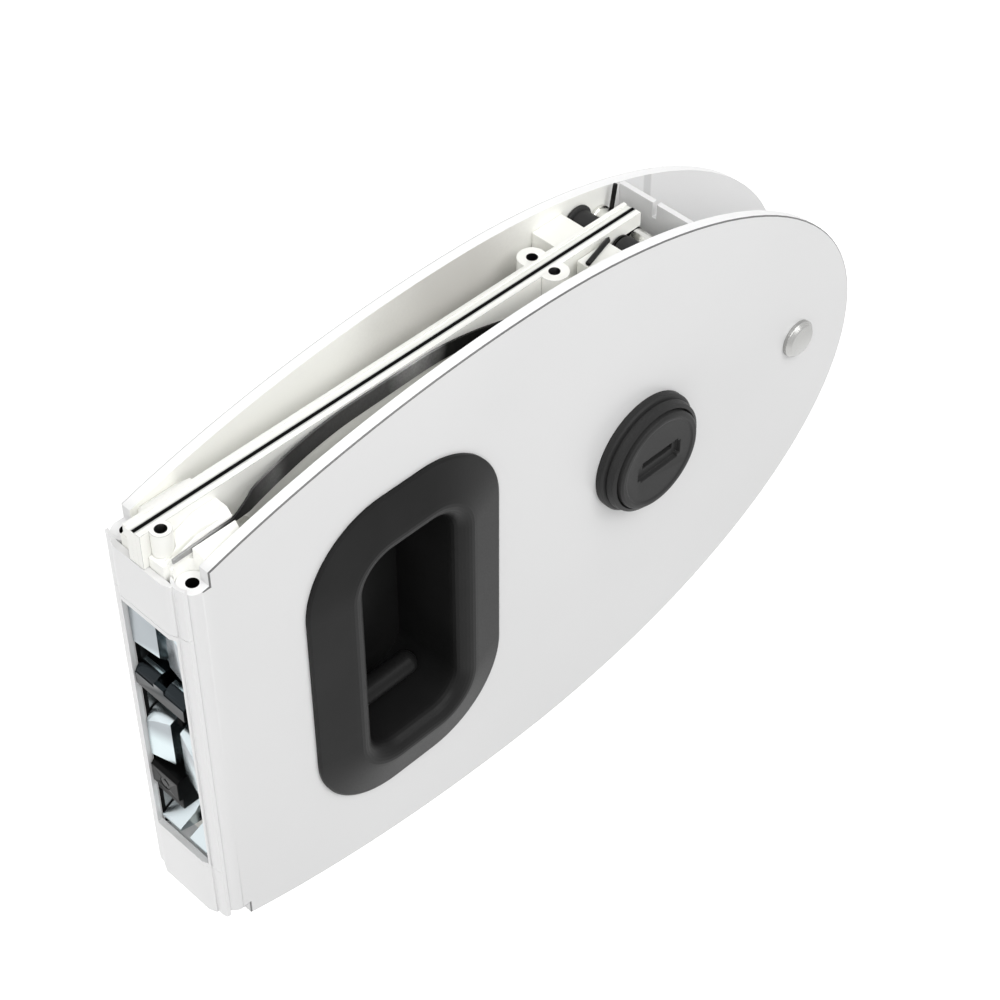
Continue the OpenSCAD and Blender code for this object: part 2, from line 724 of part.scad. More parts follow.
module cylinder_cam() color("silver") difference() {
    union() {
        upright(3.3, 4.5) translate([cyl_x, key_z]) {
            circle(5.6);
            rotate([0, 0, 90 + cam_turn / 2]) translate([0, -2.6]) square([cam_arm + 2.4, 5.2]);
        }
        cross_bar(link_end, key_z + cam_pin_z, 1.15, 4.5, link_y + link_t + 0.6);
    }
    cross_bar(cyl_x, key_z, 3 + run_gap, 2, 4.6);
}

module cam_screw() color("silver") key_axis() difference() {
    union() {
        cross_bar(0, 0, 2.7, 4.6, 5.6);
        cross_bar(0, 0, 0.97, -0.8, 4.6);
    }
    translate([-3, 5.2, -0.4]) cube([6, 1, 0.8]);
}

// White stop blocks either side of the web near its end
module end_blocks() color("white") both_sides()
    translate([block_x, -inner_y + seat_gap, window_top + 3])
        cube([block_l, inner_y - web_out - strip_t - 2 * seat_gap, block_top - window_top - 3]);

module roller_shaft() color("silver")
    cross_bar(roller_x, roller_z, 1.6, -inner_y, inner_y);

module rollers() color("#1c1c1c") both_sides() difference() {
    cross_bar(roller_x, roller_z, roller_r, -inner_y + 0.8, -web_out - strip_t - 0.5);
    cross_bar(roller_x, roller_z, 1.6 + run_gap, -inner_y, -web_out);
}

// Wire springs: the front one lies over its block, the back one stands up
// beside the cross shaft
module roller_springs() color("#1c1c1c") {
    wire = 0.6;
    rod_y = [-web_out - 0.7, -5.9];
    rod_z = block_top + wire + 0.1;
    rod_x = [block_x + block_l + wire + 0.5, block_x + 0.4];
    reach = [rod_x[1] - rod_x[0], rod_y[1] - rod_y[0]];
    difference() {
        cross_bar(roller_x, roller_z, 3.6, -web_out - 1.05, -web_out - 0.3);
        cross_bar(roller_x, roller_z, 1.6 + run_gap, -web_out - 2, -web_out);
    }
    translate([rod_x[0], rod_y[0], roller_z]) cylinder(r = 0.28, h = rod_z - roller_z);
    translate([rod_x[0], rod_y[0], rod_z]) {
        sphere(wire);
        rotate([0, 0, atan2(reach.y, reach.x)]) rotate([0, 90, 0])
            cylinder(r = wire - 0.05, h = norm(reach));
    }
    difference() {
        cross_bar(shaft_x, shaft_z, shaft_r + 0.6, 8.2, 9.6);
        cross_bar(shaft_x, shaft_z, shaft_r + run_gap, 8, 10);
    }
    translate([shaft_x + shaft_r + 0.62, 8.9, shaft_z + 0.4]) cylinder(r = 0.5, h = 7.2);
}

module cross_shaft() color("silver") difference() {
    cross_bar(shaft_x, shaft_z, shaft_r, -inner_y, inner_y);
    difference() {
        cross_bar(shaft_x, shaft_z, shaft_r + 1, -0.8, 0);
        cross_bar(shaft_x, shaft_z, shaft_r - 0.6, -1, 0.2);
    }
}

module shaft_clip() color("#1c1c1c") difference() {
    cross_bar(shaft_x, shaft_z, shaft_r + 0.5, -0.7, -0.1);
    cross_bar(shaft_x, shaft_z, shaft_r - 0.55, -1, 0.2);
    translate([shaft_x - 1.4, -1, shaft_z - 6]) cube([2.8, 2, 6]);
}

// Folded sheet between the covers, with a notch and a slot
module cross_plate() color("lightgray") difference() {
    union() {
        translate([plate_x, -inner_y, 18]) cube([plate_t, 2 * inner_y, plate_top - 18]);
        both_sides() translate([plate_x, -inner_y, 18]) cube([9, 1.2, plate_top - 30]);
    }
    translate([plate_x - 1, -0.6, plate_top - 4]) cube([4, 1.2, 5]);
    translate([plate_x - 1, -3.5, 30]) cube([4, 7, 12]);
}

// Spacer pin through both covers near the tip
module spacer_pin() color("silver") translate([pin_x, 0, key_z]) rotate([90, 0, 0])
    rotate_extrude() polygon([[0, half_t + pin_head_h], [pin_head_r - 1, half_t + pin_head_h],
        [pin_head_r, half_t + pin_head_h - 1], [pin_head_r, half_t], [pin_r, half_t],
        [pin_r, inner_y], [pin_r, -half_t - 0.6], [pin_r - 0.4, -half_t - 1], [0, -half_t - 1]]);

module pin_collar() color("silver") difference() {
    cross_bar(pin_x, key_z, pin_r + 2, -inner_y, inner_y);
    cross_bar(pin_x, key_z, pin_r + run_gap, -inner_y - cut, inner_y + cut);
}

front_cover();
back_cover();
upper_forend_cap();
mouth_frame();
lower_forend_cap();
web_front_wall();
web_back_wall();
web_core();
front_filler();
back_filler();
front_case_plate();
back_case_plate();
case_posts();
upper_hook_pin();
lower_hook_pin();
upper_hook();
upper_drive_pin();
lower_hook();
lower_drive_pin();
hook_buffer();
buffer_screw();
drive_plate();
link_bar();
link_rivets();
lever_pin();
finger_lever();
lever_drive_pin();
handle_cup();
cup_retainer();
cover_standoffs();
front_leaf_spring();
cylinder_ring();
cylinder_nut();
cylinder_plug();
cylinder_cam();
cam_screw();
end_blocks();
roller_shaft();
rollers();
roller_springs();
cross_shaft();
shaft_clip();
cross_plate();
spacer_pin();
pin_collar();
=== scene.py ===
import json
import math
import bmesh
import bpy
from mathutils import Matrix, Vector


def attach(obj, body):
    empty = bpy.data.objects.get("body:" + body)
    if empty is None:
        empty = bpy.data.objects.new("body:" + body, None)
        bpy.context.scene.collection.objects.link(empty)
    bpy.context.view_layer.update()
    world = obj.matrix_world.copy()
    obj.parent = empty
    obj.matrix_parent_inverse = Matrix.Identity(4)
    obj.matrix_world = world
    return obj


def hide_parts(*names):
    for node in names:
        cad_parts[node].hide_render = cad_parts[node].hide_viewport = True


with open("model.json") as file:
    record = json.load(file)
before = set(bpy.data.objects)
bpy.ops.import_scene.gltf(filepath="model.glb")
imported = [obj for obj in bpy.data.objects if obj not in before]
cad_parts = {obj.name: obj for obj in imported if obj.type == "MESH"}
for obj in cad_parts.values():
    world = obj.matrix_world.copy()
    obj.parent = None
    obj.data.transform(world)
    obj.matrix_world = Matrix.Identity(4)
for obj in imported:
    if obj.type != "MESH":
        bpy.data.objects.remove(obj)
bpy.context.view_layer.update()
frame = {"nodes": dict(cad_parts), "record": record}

NODES = frame["nodes"]
SLOT_OF = {row["node"]: row["material_slot"] for row in frame["record"]["subparts"]}
BODY_OF = {
    node: body
    for body, members in frame["record"]["behaviour"]["bodies"].items()
    for node in members
}

MM = 0.001
MERGE = 0.00001
FLAT_ANGLE = math.radians(0.7)
SMOOTH_ANGLE = math.radians(40)

# Sizes shared with the case, in millimetres
FACE_Y = 13.4
INNER_Y = 10.6
COLUMN_X = 9
PORT_X, PORT_Y = 5.4, 10.1
PORTS = ((PORT_X, -PORT_Y), (PORT_X, PORT_Y))
PORT_BORE = 1.42
WEB_HOLES = ((113.0, -2.75), (113.0, 3.95), (4.6, -3.15))
WEB_BORE = 1.32
CORE_SHOWN = 0.46
MOUTH_HALF = 36.0
LEAF_ON_WEB = -2.35
LEAF_DEEPEST = -7.1

# Centres on the cover or on an axis along Y: x and z in millimetres
PULL = (57.2, 0.0)
CYLINDER = (132.6, 3.5)
PIN = (188.5, 3.5)
ROLLER = (133.5, 56.8)
SHAFT = (140.8, 54.0)
SHAFT_R = 2.8


def place_camera():
    lens = bpy.data.cameras.new("photo_view")
    lens.sensor_width = 36.0
    lens.lens = 84.8
    lens.clip_start = 0.01
    lens.clip_end = 20.0
    cam = bpy.data.objects.new("photo_view", lens)
    cam.location = Vector((-171.5, -270.8, 383.7)) * MM
    cam.rotation_euler = (math.radians(45), 0, math.radians(-45))
    bpy.context.scene.collection.objects.link(cam)
    bpy.context.scene.camera = cam


def grey(tone):
    return (tone, tone, tone)


def feed(tree, socket, value):
    """Links a wire to a socket, or writes a plain value on it."""
    if isinstance(value, Wire):
        tree.links.new(value.out, socket)
    else:
        socket.default_value = value


class Wire:
    """One output in a node tree, with arithmetic that adds Math nodes."""

    def __init__(self, net, out):
        self.net = net
        self.out = out

    def math(self, operation, *values):
        return self.net.node("Math", dict(enumerate(values)), operation=operation)

    def __add__(self, other):
        return self.math("ADD", self, other)

    def __radd__(self, other):
        return self.math("ADD", other, self)

    def __sub__(self, other):
        return self.math("SUBTRACT", self, other)

    def __rsub__(self, other):
        return self.math("SUBTRACT", other, self)

    def __mul__(self, other):
        return self.math("MULTIPLY", self, other)

    def __rmul__(self, other):
        return self.math("MULTIPLY", other, self)

    def over(self, other):
        return self.math("GREATER_THAN", self, other)

    def under(self, other):
        return self.math("LESS_THAN", self, other)

    def size(self):
        return self.math("ABSOLUTE", self)

    def most(self, other):
        return self.math("MAXIMUM", self, other)


class Net:
    """A node tree that every node is added to by one method."""

    def __init__(self, tree):
        self.tree = tree

    def node(self, kind, values=None, stops=(), out=0, **settings):
        """Adds a node: settings and stops first, then its sockets' values or links."""
        made = self.tree.nodes.new("ShaderNode" + kind)
        for key, value in settings.items():
            setattr(made, key, value)
        if stops:
            band = made.color_ramp.elements
            while len(band) < len(stops):
                band.new(0.5)
            for stop, (where, colour) in zip(band, stops):
                stop.position = where
                stop.color = (*colour, 1.0)
        for key, value in (values or {}).items():
            feed(self.tree, made.inputs[key], value)
        return Wire(self, made.outputs[out])

    def seen(self):
        """1 for rays that the camera, a gloss or a glass sends, 0 for light itself."""
        rays = [self.node("LightPath", out=name)
                for name in ("Is Camera Ray", "Is Glossy Ray", "Is Transmission Ray")]
        return rays[0].most(rays[1]).most(rays[2])


class Finish(Net):
    """A procedural material in object coordinates, which it turns into millimetres."""

    def __init__(self, name, **constants):
        self.mat = bpy.data.materials.new(name)
        self.mat.use_nodes = True
        super().__init__(self.mat.node_tree)
        self.surface = self.tree.nodes["Principled BSDF"]
        for key, value in constants.items():
            self.surface.inputs[key.replace("_", " ")].default_value = value
        place = self.node("TexCoord", out="Object")
        self.place = self.node(
            "VectorMath", {0: place, 1: (1000, 1000, 1000)}, operation="MULTIPLY")

    def noise(self, pitch, detail=3.0, stretch=(1, 1, 1)):
        """Cloudy noise whose features are about pitch millimetres across."""
        drawn = self.node("Mapping", {"Vector": self.place, "Scale": stretch})
        return self.node("TexNoise", {
            "Vector": drawn, "Scale": 1.0 / pitch, "Detail": detail, "Roughness": 0.5})

    def along(self, axis):
        return self.node("SeparateXYZ", {0: self.place}, out="XYZ".index(axis))

    def painted_up_highlight(self):
        """0 on upright faces, 1 on faces that look up: the mask of a painted highlight
        from above.
        """
        normal = self.node("NewGeometry", out="True Normal")
        return self.within(self.node("SeparateXYZ", {0: normal}, out=2), 0.05, 0.75)

    def within(self, value, low, high):
        """Rises softly from 0 at low to 1 at high."""
        return self.node("MapRange", {0: value, 1: low, 2: high},
                         interpolation_type="SMOOTHSTEP")

    def blend(self, amount, low, high):
        """The low colour where amount is 0, the high colour where it is 1."""
        ends = [v if isinstance(v, Wire) else (*v, 1.0) for v in (low, high)]
        return self.node("Mix", {0: amount, 6: ends[0], 7: ends[1]}, out=2,
                         data_type="RGBA")

    def in_bores(self, centres, radius):
        """1 inside any upright bore at one of the centres."""
        x, y = self.along("X"), self.along("Y")
        mask = None
        for cx, cy in centres:
            dx, dy = x - cx, y - cy
            here = (dx * dx + dy * dy).under(radius * radius)
            mask = here if mask is None else mask.most(here)
        return mask

    def drive(self, name, value):
        feed(self.tree, self.surface.inputs[name], value)

    def bump(self, height, strength, distance):
        self.drive("Normal", self.node("Bump", {
            "Strength": strength, "Distance": distance * MM, "Height": height}))


def enamel(name, base, shade, gloss=0.34, bores=None, radius=0.0, mouth=None):
    """Sprayed enamel: soft clouds of tone, a fine orange peel and a thin gloss coat.

    Bores are painted black inside as painted shade, and so is what lies behind a mouth
    of that half height.
    """
    f = Finish(name, Specular_IOR_Level=0.4, Coat_Roughness=0.12)
    cloud = f.noise(70.0)
    peel = f.noise(1.6, 2.0)
    colour = f.blend(f.within(cloud, 0.3, 0.7), base, shade)
    # Painted shade: bores, and what lies behind the mouth, are painted near black.
    if bores:
        colour = f.blend(f.in_bores(bores, radius), colour, grey(0.006))
    if mouth:
        behind = f.along("Z").size().under(mouth)
        colour = f.blend(behind, colour, grey(0.004))
    f.drive("Base Color", colour)
    f.drive("Roughness", peel * 0.08 + cloud * 0.05 + (gloss - 0.06))
    f.drive("Coat Weight", cloud * 0.16 + 0.04)
    f.bump(peel + f.noise(6.0, 2.0) * 0.6, 0.035, 0.12)
    return f.mat


def moulded(name, base, worn, rough=0.46, sheen=0.42):
    """Moulded plastic with a fine spark grain."""
    f = Finish(name, Specular_IOR_Level=sheen)
    fine = f.noise(0.4, 2.0)
    broad = f.noise(22.0, 4.0)
    f.drive("Base Color", f.blend(f.within(broad, 0.35, 0.75), base, worn))
    f.drive("Roughness", fine * 0.12 + broad * 0.08 + (rough - 0.10))
    f.bump(fine, 0.10, 0.06)
    return f.mat


def zinc(name, flat, lit):
    """Bright zinc with a painted highlight: faces that look up get the paler colour as
    if lit from above, upright ones stay grey.
    """
    f = Finish(name, Metallic=1.0)
    line = f.noise(3.0, stretch=(1, 1, 9))
    patch = f.noise(9.0)
    soft = f.blend(patch, flat, tuple(v * 1.12 for v in flat))
    # Painted highlight: faces that look up are painted paler, standing in for light
    # from above.
    f.drive("Base Color", f.blend(f.painted_up_highlight(), soft, lit))
    f.drive("Roughness", line * 0.05 + patch * 0.05 + 0.19)
    f.bump(line, 0.03, 0.05)
    return f.mat


def jaw_zinc(name, nose=None):
    """Zinc jaws with painted shade in grey bands, a painted highlight on faces that
    look up, and a nose bar painted near black as a dark reflection.

    The nose bar lies between two heights.
    """
    f = Finish(name, Metallic=1.0)
    line = f.noise(3.0, stretch=(1, 1, 9))
    z = f.along("Z")
    # Painted shade: grey bands across the jaws' middle and above their throat.
    painted_shade = f.within((z + 1.5).size(), 6.0, 0.5).most(f.within(z, 21.0, 25.0))
    flat = f.blend(painted_shade, (0.60, 0.68, 0.70), (0.34, 0.37, 0.39))
    # Painted highlight: faces that look up are painted paler.
    steel = f.blend(f.painted_up_highlight(), flat, (0.76, 0.84, 0.87))
    if nose:
        # Painted dark reflection: the nose bar is painted near black, a little paler
        # towards its top.
        bar = z.over(nose[0]) * z.under(nose[1])
        height = f.within(z, 12.2, 16.6)
        dark = f.blend(height, (0.008, 0.009, 0.010), (0.03, 0.036, 0.04))
        steel = f.blend(bar, steel, dark)
    f.drive("Base Color", steel)
    f.drive("Roughness", line * 0.06 + 0.2)
    f.bump(line, 0.03, 0.05)
    return f.mat


def turned(name, base, tint):
    """Turned steel with fine lines round its axis along Y."""
    f = Finish(name, Metallic=1.0)
    line = f.noise(2.0, stretch=(1, 14, 1))
    patch = f.noise(16.0)
    f.drive("Base Color", f.blend(f.within(patch, 0.3, 0.7), base, tint))
    f.drive("Roughness", line * 0.10 + 0.21)
    f.bump(line, 0.04, 0.06)
    return f.mat


def rubbery(name, base, dust, edge=None):
    """Dull black rubber, pale beyond a half thickness if edge gives one."""
    f = Finish(name, Specular_IOR_Level=0.04)
    fine = f.noise(0.7)
    colour = f.blend(f.within(f.noise(12.0, 4.0), 0.5, 0.8), base, dust)
    if edge:
        colour = f.blend(f.along("Y").size().over(edge), colour, (0.60, 0.60, 0.58))
    f.drive("Base Color", colour)
    f.drive("Roughness", fine * 0.2 + 0.6)
    f.bump(fine, 0.15, 0.08)
    return f.mat


def blued(name, base, sheen):
    """Blackened spring steel with streaks along its height."""
    f = Finish(name, Metallic=0.6, Specular_IOR_Level=0.3)
    streak = f.noise(8.0, 4.0, stretch=(1, 1, 5))
    f.drive("Base Color", f.blend(f.within(streak, 0.3, 0.75), base, sheen))
    f.drive("Roughness", streak * 0.16 + 0.3)
    f.bump(f.noise(1.0, 2.0), 0.06, 0.05)
    return f.mat


def leaf_painted_reflections():
    """Leaf spring steel with painted reflections: bands of painted highlight and dark
    along its length between black and grey.

    A band is its place, in parts of 100 mm from the forend, and its tone.
    """
    f = Finish("leaf_painted_reflections", Metallic=0.5, Specular_IOR_Level=0.2)
    # Painted reflections: each band is a painted highlight or dark patch.
    painted_reflections = (
        (0.00, 0.60), (0.15, 0.45), (0.20, 0.015), (0.26, 0.050), (0.33, 0.22),
        (0.37, 0.070), (0.47, 0.100), (0.66, 0.150), (0.735, 0.50), (0.775, 0.38),
        (0.82, 0.010), (1.00, 0.002))
    wobble = f.noise(5.0)
    where = (f.along("X") + wobble * 4.0) * 0.01
    band = f.node("ValToRGB", {0: where}, stops=[(p, grey(v)) for p, v in painted_reflections])
    f.drive("Base Color", f.blend(f.noise(0.5, 2.0) * 0.5, band, grey(0.02)))
    f.drive("Roughness", wobble * 0.2 + 0.32)
    f.bump(f.noise(0.8, 2.0), 0.08, 0.04)
    return f.mat


def satin_inside():
    """The cover's inner skin: pale and satin, with a broad soft band of painted shade.

    Past the web it is plain, but for a darker painted upright line at x 157.5.
    """
    f = Finish("satin_inside", Specular_IOR_Level=0.4)
    x = f.along("X")
    cloud = f.noise(34.0, 2.0, stretch=(1, 1, 1.6))
    sand = f.noise(0.6, 2.0)
    # Painted shade: a broad soft darker band across the inner skin.
    from_band = (x + cloud * 26.0 - 108.0).size()
    tone = f.within(from_band + sand * 4.0, 40.0, 6.0)
    colour = f.blend(tone, (0.93, 0.93, 0.89), (0.62, 0.61, 0.58))
    plain = f.blend(f.within(x, 138.0, 150.0), colour, grey(0.80))
    upright_line = f.within((x - 157.5).size(), 1.6, 0.9)
    f.drive("Base Color", f.blend(upright_line * 0.8, plain, grey(0.60)))
    f.drive("Roughness", cloud * 0.1 + 0.3)
    f.bump(sand, 0.05, 0.05)
    return f.mat


# Painted shade: a dark line on the covers' eased outer edge.
COVER_EDGE_SHADE = enamel("cover_edge_shade", grey(0.13), grey(0.17))
# The port bores in the rim are painted black as painted shade.
RIM_WHITE = enamel("rim_white", grey(0.90), grey(0.93), bores=PORTS, radius=PORT_BORE)
# Cover enamel with painted shade: near black on the port columns behind the mouth.
MOUTH_SHADE = enamel("mouth_shade", grey(0.735), grey(0.755), mouth=MOUTH_HALF)
# Painted shade: dark lines on the web walls' eased edges.
WEB_EDGE_SHADE = enamel("web_edge_shade", grey(0.10), grey(0.15))
INSIDE = satin_inside()
LEAF = leaf_painted_reflections()
DULL_BLACK = rubbery("drive_black", grey(0.003), grey(0.008))
DISC_BLACK = moulded("disc_black", grey(0.026), grey(0.034), sheen=0.12)
ROLLER_BLACK = moulded("roller_black", grey(0.030), grey(0.044), rough=0.6, sheen=0.15)

FINISHES = {
    "cover_enamel": enamel("cover_enamel", grey(0.735), grey(0.755)),
    "forend_enamel": enamel("forend_enamel", grey(0.78), grey(0.80)),
    # The web's holes are painted black inside as painted shade.
    "web_white": enamel("web_white", (0.88, 0.88, 0.84), (0.93, 0.93, 0.89),
                        bores=WEB_HOLES, radius=WEB_BORE),
    "white_plastic": moulded("white_plastic", (0.90, 0.90, 0.85), (0.95, 0.95, 0.92)),
    "black_plastic": moulded("black_plastic", grey(0.010), grey(0.015),
                             rough=0.42, sheen=0.12),
    "black_rubber": rubbery("black_rubber", grey(0.002), grey(0.004), edge=CORE_SHOWN),
    "zinc_steel": zinc("zinc_steel", (0.43, 0.47, 0.49), (0.74, 0.83, 0.86)),
    "spring_steel": blued("spring_steel", grey(0.006), grey(0.02)),
    "bright_steel": turned("bright_steel", (0.70, 0.70, 0.67), (0.80, 0.80, 0.77)),
    "sheet_grey": enamel("sheet_grey", grey(0.74), grey(0.80), gloss=0.3),
}
NODE_FINISH = {
    "drive_plate": DULL_BLACK,
    # Painted shade: the case plates behind the mouth are painted black.
    "front_case_plate": DULL_BLACK,
    "back_case_plate": DULL_BLACK,
    "cylinder_ring": DISC_BLACK,
    "cylinder_plug": DISC_BLACK,
    "upper_hook": jaw_zinc("nosed_zinc", nose=(11.0, 17.25)),
    "lower_hook": jaw_zinc("jaw_zinc"),
    "hook_buffer": moulded("buffer_black", grey(0.002), grey(0.004),
                           rough=0.3, sheen=0.08),
    "buffer_screw": FINISHES["spring_steel"],
    "spacer_pin": turned("pin_steel", (0.42, 0.42, 0.41), (0.48, 0.48, 0.47)),
}


def finish_of(node):
    return NODE_FINISH.get(node, FINISHES[SLOT_OF[node]])


def finish_nodes():
    for name, obj in NODES.items():
        if not obj.material_slots:
            obj.data.materials.append(finish_of(name))
        for place in obj.material_slots:
            place.material = finish_of(name)


def make(name, bm, finishes):
    """Turns a mesh in the making into an object, smooth but for its sharp edges."""
    mesh = bpy.data.meshes.new(name)
    bm.to_mesh(mesh)
    bm.free()
    for mat in finishes:
        mesh.materials.append(mat)
    for poly in mesh.polygons:
        poly.use_smooth = True
    mesh.set_sharp_from_angle(angle=SMOOTH_ANGLE)
    obj = bpy.data.objects.new(name, mesh)
    bpy.context.scene.collection.objects.link(obj)
    return obj


def seat(obj, node):
    """Puts a piece on the body of the node that it stands for."""
    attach(obj, BODY_OF[node])
    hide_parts(node)


def ease(obj, width, segments=2, limit=32.0, trim=-1, picked=False):
    """Rounds the piece's sharp edges off, or only those that carry a weight."""
    mod = obj.modifiers.new("ease", "BEVEL")
    mod.width = width * MM
    mod.segments = segments
    mod.limit_method = "WEIGHT" if picked else "ANGLE"
    mod.angle_limit = math.radians(limit)
    mod.material = trim
    mod.harden_normals = True
    mod.use_clamp_overlap = not picked


def merged_copy(node):
    """A CAD node's mesh with its triangles joined into whole faces."""
    bm = bmesh.new()
    bm.from_mesh(NODES[node].data)
    bmesh.ops.remove_doubles(bm, verts=bm.verts, dist=MERGE)
    bmesh.ops.dissolve_limit(
        bm, angle_limit=FLAT_ANGLE, verts=bm.verts, edges=bm.edges,
        use_dissolve_boundaries=False, delimit=set())
    return bm


def eased(node, width, line=None, paint=None, segments=2):
    """A copy of a CAD node with eased edges.

    Line is a finish for those edges. Paint is a finish and a test of the faces,
    by their centre and their normal, that get it.
    """
    bm = merged_copy(node)
    finishes = [finish_of(node)]
    if paint:
        finishes.append(paint[0])
        for face in bm.faces:
            if paint[1](face.calc_center_median() / MM, face.normal):
                face.material_index = 1
    trim = -1
    if line:
        trim = len(finishes)
        finishes.append(line)
    obj = make(node + "_eased", bm, finishes)
    ease(obj, width, segments, trim=trim)
    seat(obj, node)


def clear_of_holes(p):
    return (
        not (abs(p.x - PULL[0]) < 26 and abs(p.z) < 44)
        and math.hypot(p.x - CYLINDER[0], p.z - CYLINDER[1]) > 16
        and math.hypot(p.x - PIN[0], p.z - PIN[1]) > 7
    )


def on_outline(edge):
    """Whether an edge of a cover runs along the outline of its outer face."""
    a, b = (v.co / MM for v in edge.verts)
    if abs(abs(a.y) - FACE_Y) > 0.02 or abs(abs(b.y) - FACE_Y) > 0.02:
        return False
    if len(edge.link_faces) != 2 or edge.calc_face_angle() < 0.6:
        return False
    return clear_of_holes((a + b) / 2)


def cover_finish(p, normal, side):
    """The place in a cover's list of finishes for a face: see dress_cover."""
    upright = abs(normal.z) < 0.5
    inward = normal.y * side
    # Painted shade: the port bores get black.
    if upright and math.hypot(p.x - PORT_X, abs(p.y) - PORT_Y) < 1.6:
        return 4
    # Painted shade: the port columns' sides behind the mouth get near black.
    if p.x < COLUMN_X and abs(p.y) < FACE_Y - 1 and upright and (
            inward < -0.1 or normal.x > 0.3):
        return 5
    if abs(normal.y) < 0.5 and (p.x > COLUMN_X or not upright):
        return 1
    if inward < 0 and abs(p.y) < INNER_Y + 0.2 and p.x > COLUMN_X:
        return 2
    return 0


def dress_cover(node, side):
    """Cover: grey face, white rim, satin inner skin with painted shade, black painted
    shade in bores and behind the mouth, and a fine line of painted shade along the
    outer edge.
    """
    bm = merged_copy(node)
    weight = bm.edges.layers.float.new("bevel_weight_edge")
    for face in bm.faces:
        middle = face.calc_center_median() / MM
        face.material_index = cover_finish(middle, face.normal, side)
    for edge in bm.edges:
        if on_outline(edge):
            edge[weight] = 1.0
    finishes = [finish_of(node), RIM_WHITE, INSIDE, COVER_EDGE_SHADE, DULL_BLACK, MOUTH_SHADE]
    obj = make(node + "_dressed", bm, finishes)
    ease(obj, 0.3, trim=finishes.index(COVER_EDGE_SHADE), picked=True)
    seat(obj, node)


# Faces of the mouth's inner walls, painted black as painted shade.
def mouth_shade_faces(p, normal):
    behind_lip = p.x > 0.9 and normal.x > -0.5
    return abs(p.y) < 8.2 and abs(normal.z) < 0.6 and (p.x > 2.0 or behind_lip)


def core_end(p, normal):
    return normal.x < -0.9 and p.x < 1.0


def dress_case():
    dress_cover("front_cover", -1)
    dress_cover("back_cover", 1)
    for node in ("upper_forend_cap", "lower_forend_cap"):
        eased(node, 0.2)
    eased("mouth_frame", 0.2, paint=(DULL_BLACK, mouth_shade_faces))
    for node in ("web_front_wall", "web_back_wall"):
        eased(node, 0.12, line=WEB_EDGE_SHADE, segments=1)
    eased("web_core", 0.05, paint=(FINISHES["web_white"], core_end))
    for node, width in (
        ("front_filler", 0.2), ("back_filler", 0.2), ("cross_plate", 0.15),
        ("cross_shaft", 0.15), ("spacer_pin", 0.12), ("finger_lever", 0.2),
        ("cylinder_plug", 0.15), ("upper_hook", 0.4), ("lower_hook", 0.4),
        ("hook_buffer", 0.4), ("end_blocks", 0.18),
    ):
        eased(node, width)


def ramp(x, start, length):
    """Rises from 0 at start to 1 a length further on."""
    return min(1.0, max(0.0, (x - start) / length))


def bow(x):
    """Depth of the leaf spring's inner side at a distance from the forend."""
    if x < 60:
        left = LEAF_ON_WEB - 0.01355 * max(0.0, 54.0 - x) ** 1.7
        return max(LEAF_DEEPEST, left)
    return LEAF_ON_WEB - 0.0082 * max(0.0, x - 73.0) ** 2


def leaf_top(x):
    if x < 12:
        return 57.4 + 0.05 * x
    rise = ramp(x, 18.0, 7.0)
    return 58.1 + 3.9 * rise * rise * (3 - 2 * rise)


def leaf_low(x):
    return 56.4 + 0.7 * ramp(x, 10, 12) + 0.026 * max(0.0, x - 35)


def make_leaf():
    """Bowed leaf: its tail lies in the filler, its middle on the web."""
    bm = bmesh.new()
    start, end, steps, thickness = 3.4, 103.0, 72, 0.5
    last = None
    for i in range(steps + 1):
        x = start + (end - start) * i / steps
        pair = [bm.verts.new(Vector((x, bow(x), z)) * MM)
                for z in (leaf_low(x), leaf_top(x))]
        if last:
            bm.faces.new((last[0], pair[0], pair[1], last[1]))
        last = pair
    bmesh.ops.recalc_face_normals(bm, faces=bm.faces)
    grown = bmesh.ops.extrude_face_region(bm, geom=list(bm.faces))
    moved = [v for v in grown["geom"] if isinstance(v, bmesh.types.BMVert)]
    bmesh.ops.translate(bm, verts=moved, vec=(0, -thickness * MM, 0))
    bmesh.ops.recalc_face_normals(bm, faces=bm.faces)
    obj = make("leaf_strip", bm, [LEAF])
    ease(obj, 0.08, limit=50)
    seat(obj, "front_leaf_spring")


def turn_profile(bm, points, centre, steps=48):
    """Spins a closed row of (depth, radius) points about an axis along Y."""
    known = set(bm.verts)
    row = [bm.verts.new(Vector((centre[0] + r, y, centre[1])) * MM) for y, r in points]
    edges = [bm.edges.new((a, b)) for a, b in zip(row, row[1:] + row[:1])]
    bmesh.ops.spin(
        bm, geom=row + edges, cent=Vector((centre[0], 0, centre[1])) * MM,
        axis=(0, 1, 0), angle=math.tau, steps=steps, use_merge=True)
    fresh = [v for v in bm.verts if v not in known]
    bmesh.ops.remove_doubles(bm, verts=fresh, dist=MERGE)


def turn_ring(bm, depths, radii, centre, steps=32):
    """A flat ring between two depths and two radii."""
    (near, far), (inner, outer) = depths, radii
    points = [(near, inner), (near, outer), (far, outer), (far, inner)]
    turn_profile(bm, points, centre, steps)


def make_rollers():
    """Black rollers with a groove and a flange next to each cover."""
    bm = bmesh.new()
    profile = (
        (3.55, 1.75), (3.55, 3.25), (3.75, 3.45), (9.0, 3.45), (9.1, 3.2),
        (9.4, 3.2), (9.5, 4.1), (9.7, 4.3), (10.2, 4.3), (10.35, 4.15),
        (10.35, 1.75))
    for side in (-1, 1):
        turn_profile(bm, [(y * side, r) for y, r in profile], ROLLER)
    bmesh.ops.recalc_face_normals(bm, faces=bm.faces)
    seat(make("grooved_rollers", bm, [ROLLER_BLACK]), "rollers")


